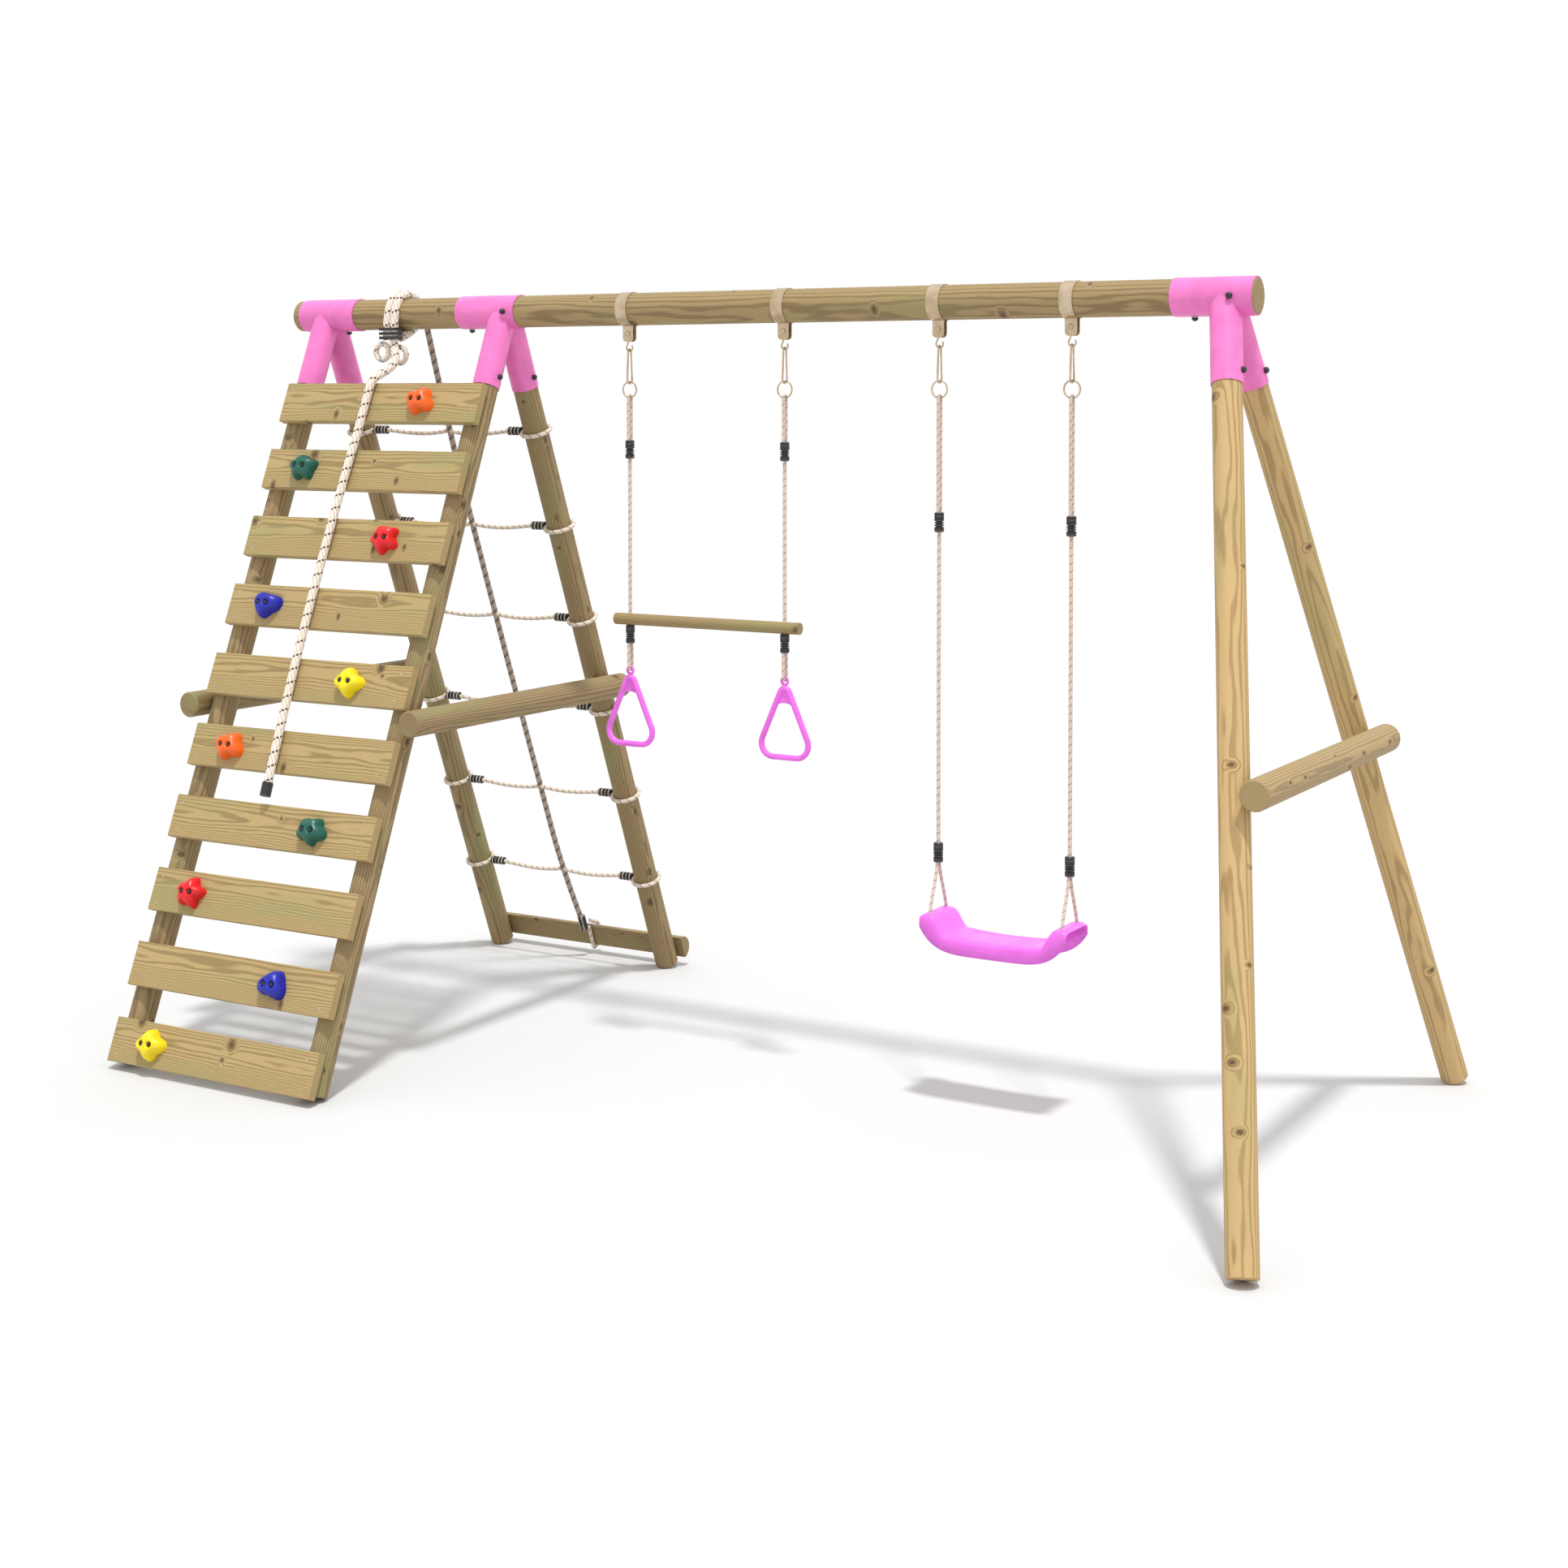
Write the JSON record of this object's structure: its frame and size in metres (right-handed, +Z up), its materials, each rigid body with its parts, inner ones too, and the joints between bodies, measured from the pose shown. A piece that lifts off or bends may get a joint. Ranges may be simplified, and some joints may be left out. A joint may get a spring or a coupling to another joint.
{
  "type": "garden swing set with climbing wall",
  "caption": "Timber garden swing set with a board climbing wall and hand holds, a rope net, a climbing rope, a trapeze bar with ring handles and a swing seat.",
  "frame": {"origin": "centre of the plan on the ground", "axes": "+X along the beam towards the single end frame, -Y in front of the climbing wall, +Z up"},
  "size_m": [3.6797, 2.0345, 2.3783],
  "materials": {
    "round_timber": "planed round poles with visible grain",
    "board_timber": "pressure-treated boards with visible grain and knots",
    "pink_steel": "satin powder coat",
    "gold_steel": "yellow passivated, satin",
    "black_plastic": "satin moulded",
    "rope": "braided cord with dark flecks",
    "pink_plastic": "smooth moulded",
    "hold_orange": "smooth moulded",
    "hold_green": "smooth moulded",
    "hold_red": "smooth moulded",
    "hold_blue": "smooth moulded",
    "hold_yellow": "smooth moulded"
  },
  "bodies": {
    "frame": {"top_beam": "round_timber", "wall_leg_left": "round_timber", "wall_leg_right": "round_timber", "net_leg_left": "round_timber", "net_leg_right": "round_timber", "end_leg_front": "round_timber", "end_leg_back": "round_timber", "brace_left": "round_timber", "brace_middle": "round_timber", "brace_right": "round_timber", "ground_rail": "round_timber", "wall_board_01": "board_timber", "wall_board_02": "board_timber", "wall_board_03": "board_timber", "wall_board_04": "board_timber", "wall_board_05": "board_timber", "wall_board_06": "board_timber", "wall_board_07": "board_timber", "wall_board_08": "board_timber", "wall_board_09": "board_timber", "wall_board_10": "board_timber", "left_bracket": "pink_steel", "middle_bracket": "pink_steel", "right_bracket": "pink_steel", "hold_orange": "hold_orange", "hold_green": "hold_green", "hold_red": "hold_red", "hold_blue": "hold_blue", "hold_yellow": "hold_yellow", "board_screws": "gold_steel", "hanger_straps": "gold_steel", "hanger_bolts": "gold_steel", "hanger_hooks": "gold_steel", "bolt_caps": "black_plastic", "hold_bolts": "black_plastic", "climbing_rope_end_cap": "black_plastic", "climbing_rope_bands": "black_plastic", "net_clips": "black_plastic", "climbing_rope": "rope", "climbing_rope_hitch": "rope", "net_rung_ropes": "rope", "net_leg_loops": "rope", "net_centre_rope": "rope", "net_rail_tie": "rope"},
    "trapeze": {"trapeze_carabiners": "gold_steel", "trapeze_rings": "gold_steel", "trapeze_ropes": "rope", "trapeze_clips": "black_plastic", "trapeze_bar": "round_timber"},
    "trapeze_gate_l": {"trapeze_gate_left": "gold_steel"},
    "trapeze_gate_r": {"trapeze_gate_right": "gold_steel"},
    "handle_l": {"ring_handle_left": "pink_plastic"},
    "handle_r": {"ring_handle_right": "pink_plastic"},
    "swing": {"swing_carabiners": "gold_steel", "swing_rings": "gold_steel", "swing_ropes": "rope", "swing_clips": "black_plastic", "swing_seat": "pink_plastic"},
    "swing_gate_l": {"swing_gate_left": "gold_steel"},
    "swing_gate_r": {"swing_gate_right": "gold_steel"}
  },
  "joints": [
    {"name": "trapeze_swing", "type": "hinge", "parent": "frame", "child": "trapeze", "pos_m": [-0.2351, 0.009, 2.171], "axis": [1, 0, 0], "range_deg": [-60, 60]},
    {"name": "swing_swing", "type": "hinge", "parent": "frame", "child": "swing", "pos_m": [0.7604, 0.009, 2.171], "axis": [1, 0, 0], "range_deg": [-60, 60]},
    {"name": "handle_left_turn", "type": "hinge", "parent": "trapeze", "child": "handle_l", "pos_m": [-0.5126, 0.009, 1.1847], "axis": [0, 1, 0], "range_deg": [-50, 50]},
    {"name": "handle_right_turn", "type": "hinge", "parent": "trapeze", "child": "handle_r", "pos_m": [0.0424, 0.009, 1.1847], "axis": [0, 1, 0], "range_deg": [-50, 50]},
    {"name": "trapeze_gate_l_open", "type": "hinge", "parent": "trapeze", "child": "trapeze_gate_l", "pos_m": [-0.5126, 0.02103, 2.10074], "axis": [1, 0, 0], "range_deg": [0, 12], "stiffness_Nm_per_rad": 0.1, "springref_deg": -5.73},
    {"name": "trapeze_gate_r_open", "type": "hinge", "parent": "trapeze", "child": "trapeze_gate_r", "pos_m": [0.0424, 0.02103, 2.10074], "axis": [1, 0, 0], "range_deg": [0, 12], "stiffness_Nm_per_rad": 0.1, "springref_deg": -5.73},
    {"name": "swing_gate_l_open", "type": "hinge", "parent": "swing", "child": "swing_gate_l", "pos_m": [0.5554, 0.02103, 2.10074], "axis": [1, 0, 0], "range_deg": [0, 12], "stiffness_Nm_per_rad": 0.1, "springref_deg": -5.73},
    {"name": "swing_gate_r_open", "type": "hinge", "parent": "swing", "child": "swing_gate_r", "pos_m": [0.9654, 0.02103, 2.10074], "axis": [1, 0, 0], "range_deg": [0, 12], "stiffness_Nm_per_rad": 0.1, "springref_deg": -5.73}
  ]
}
